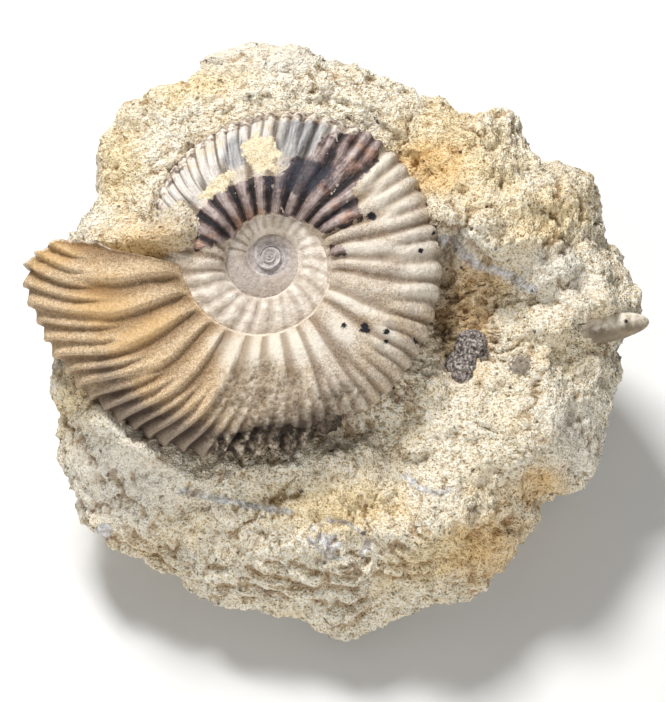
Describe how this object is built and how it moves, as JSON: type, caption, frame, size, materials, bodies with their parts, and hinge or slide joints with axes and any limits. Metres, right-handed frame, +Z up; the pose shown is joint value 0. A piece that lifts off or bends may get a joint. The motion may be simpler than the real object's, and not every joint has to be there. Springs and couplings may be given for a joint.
{
  "type": "ammonite fossil in matrix",
  "caption": "Ribbed spiral ammonite half freed from a loose block of sandy limestone that also holds a belemnite and a dark nodule.",
  "frame": {"origin": "middle of the flat underside that the block rests on", "axes": "+Z up, -Y towards the viewer who looks at the ammonite's face, +X to that viewer's right"},
  "size_m": [0.1317, 0.1153, 0.0748],
  "materials": {
    "matrix": "rough sandy limestone, cream with ochre stains",
    "ammonite": "fossil shell, tan to cream, with dark brown shell remains",
    "belemnite": "smooth grey-green calcite",
    "dark_nodule": "granular dark grey-brown"
  },
  "bodies": {
    "root": {"matrix": "matrix", "ammonite": "ammonite", "belemnite": "belemnite", "dark_nodule": "dark_nodule"}
  },
  "joints": []
}
